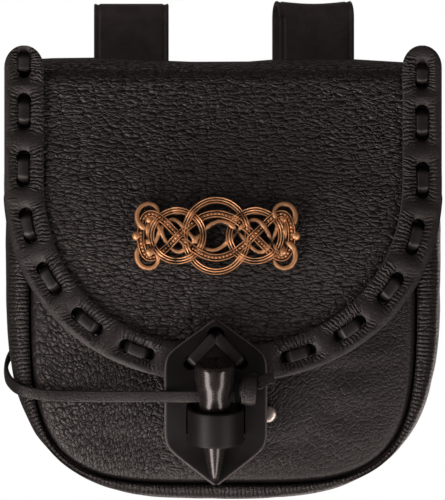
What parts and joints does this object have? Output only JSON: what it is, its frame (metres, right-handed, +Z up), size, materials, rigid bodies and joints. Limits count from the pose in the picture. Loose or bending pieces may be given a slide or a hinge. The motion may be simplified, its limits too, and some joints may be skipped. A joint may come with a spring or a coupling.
{
  "type": "belt pouch",
  "caption": "Belt pouch of pebbled leather with a rounded flap, laced border, cast ornament, horn toggle closure and belt loops.",
  "frame": {"origin": "the middle of the belt, half way between the two belt loops", "axes": "-Y out of the front of the flap, +Z up as worn, +X to the viewer's right when facing the front"},
  "size_m": [0.1695, 0.0897, 0.192],
  "materials": {
    "pebbled_leather": "black, coarse pebble grain, soft sheen",
    "smooth_leather": "black, smooth, satin",
    "horn": "polished near-black horn",
    "steel": "polished nickel-plated steel",
    "copper": "antiqued copper, dark in its recesses and bright on its ridges"
  },
  "bodies": {
    "root": {"front_panel": "pebbled_leather", "gusset": "pebbled_leather", "back_and_flap": "pebbled_leather", "border_strip": "pebbled_leather", "border_lace_left": "pebbled_leather", "border_lace_right": "pebbled_leather", "plate_lace": "pebbled_leather", "thong": "pebbled_leather", "thong_knot": "pebbled_leather", "thong_stopper": "pebbled_leather", "hex_plate": "smooth_leather", "keeper_band": "smooth_leather", "belt_loop_left": "smooth_leather", "belt_loop_right": "smooth_leather", "keeper_rivet_left": "steel", "keeper_rivet_right": "steel", "loop_rivet_1": "steel", "loop_rivet_2": "steel", "loop_rivet_3": "steel", "loop_rivet_4": "steel", "toggle": "horn", "ornament": "copper"}
  },
  "joints": []
}
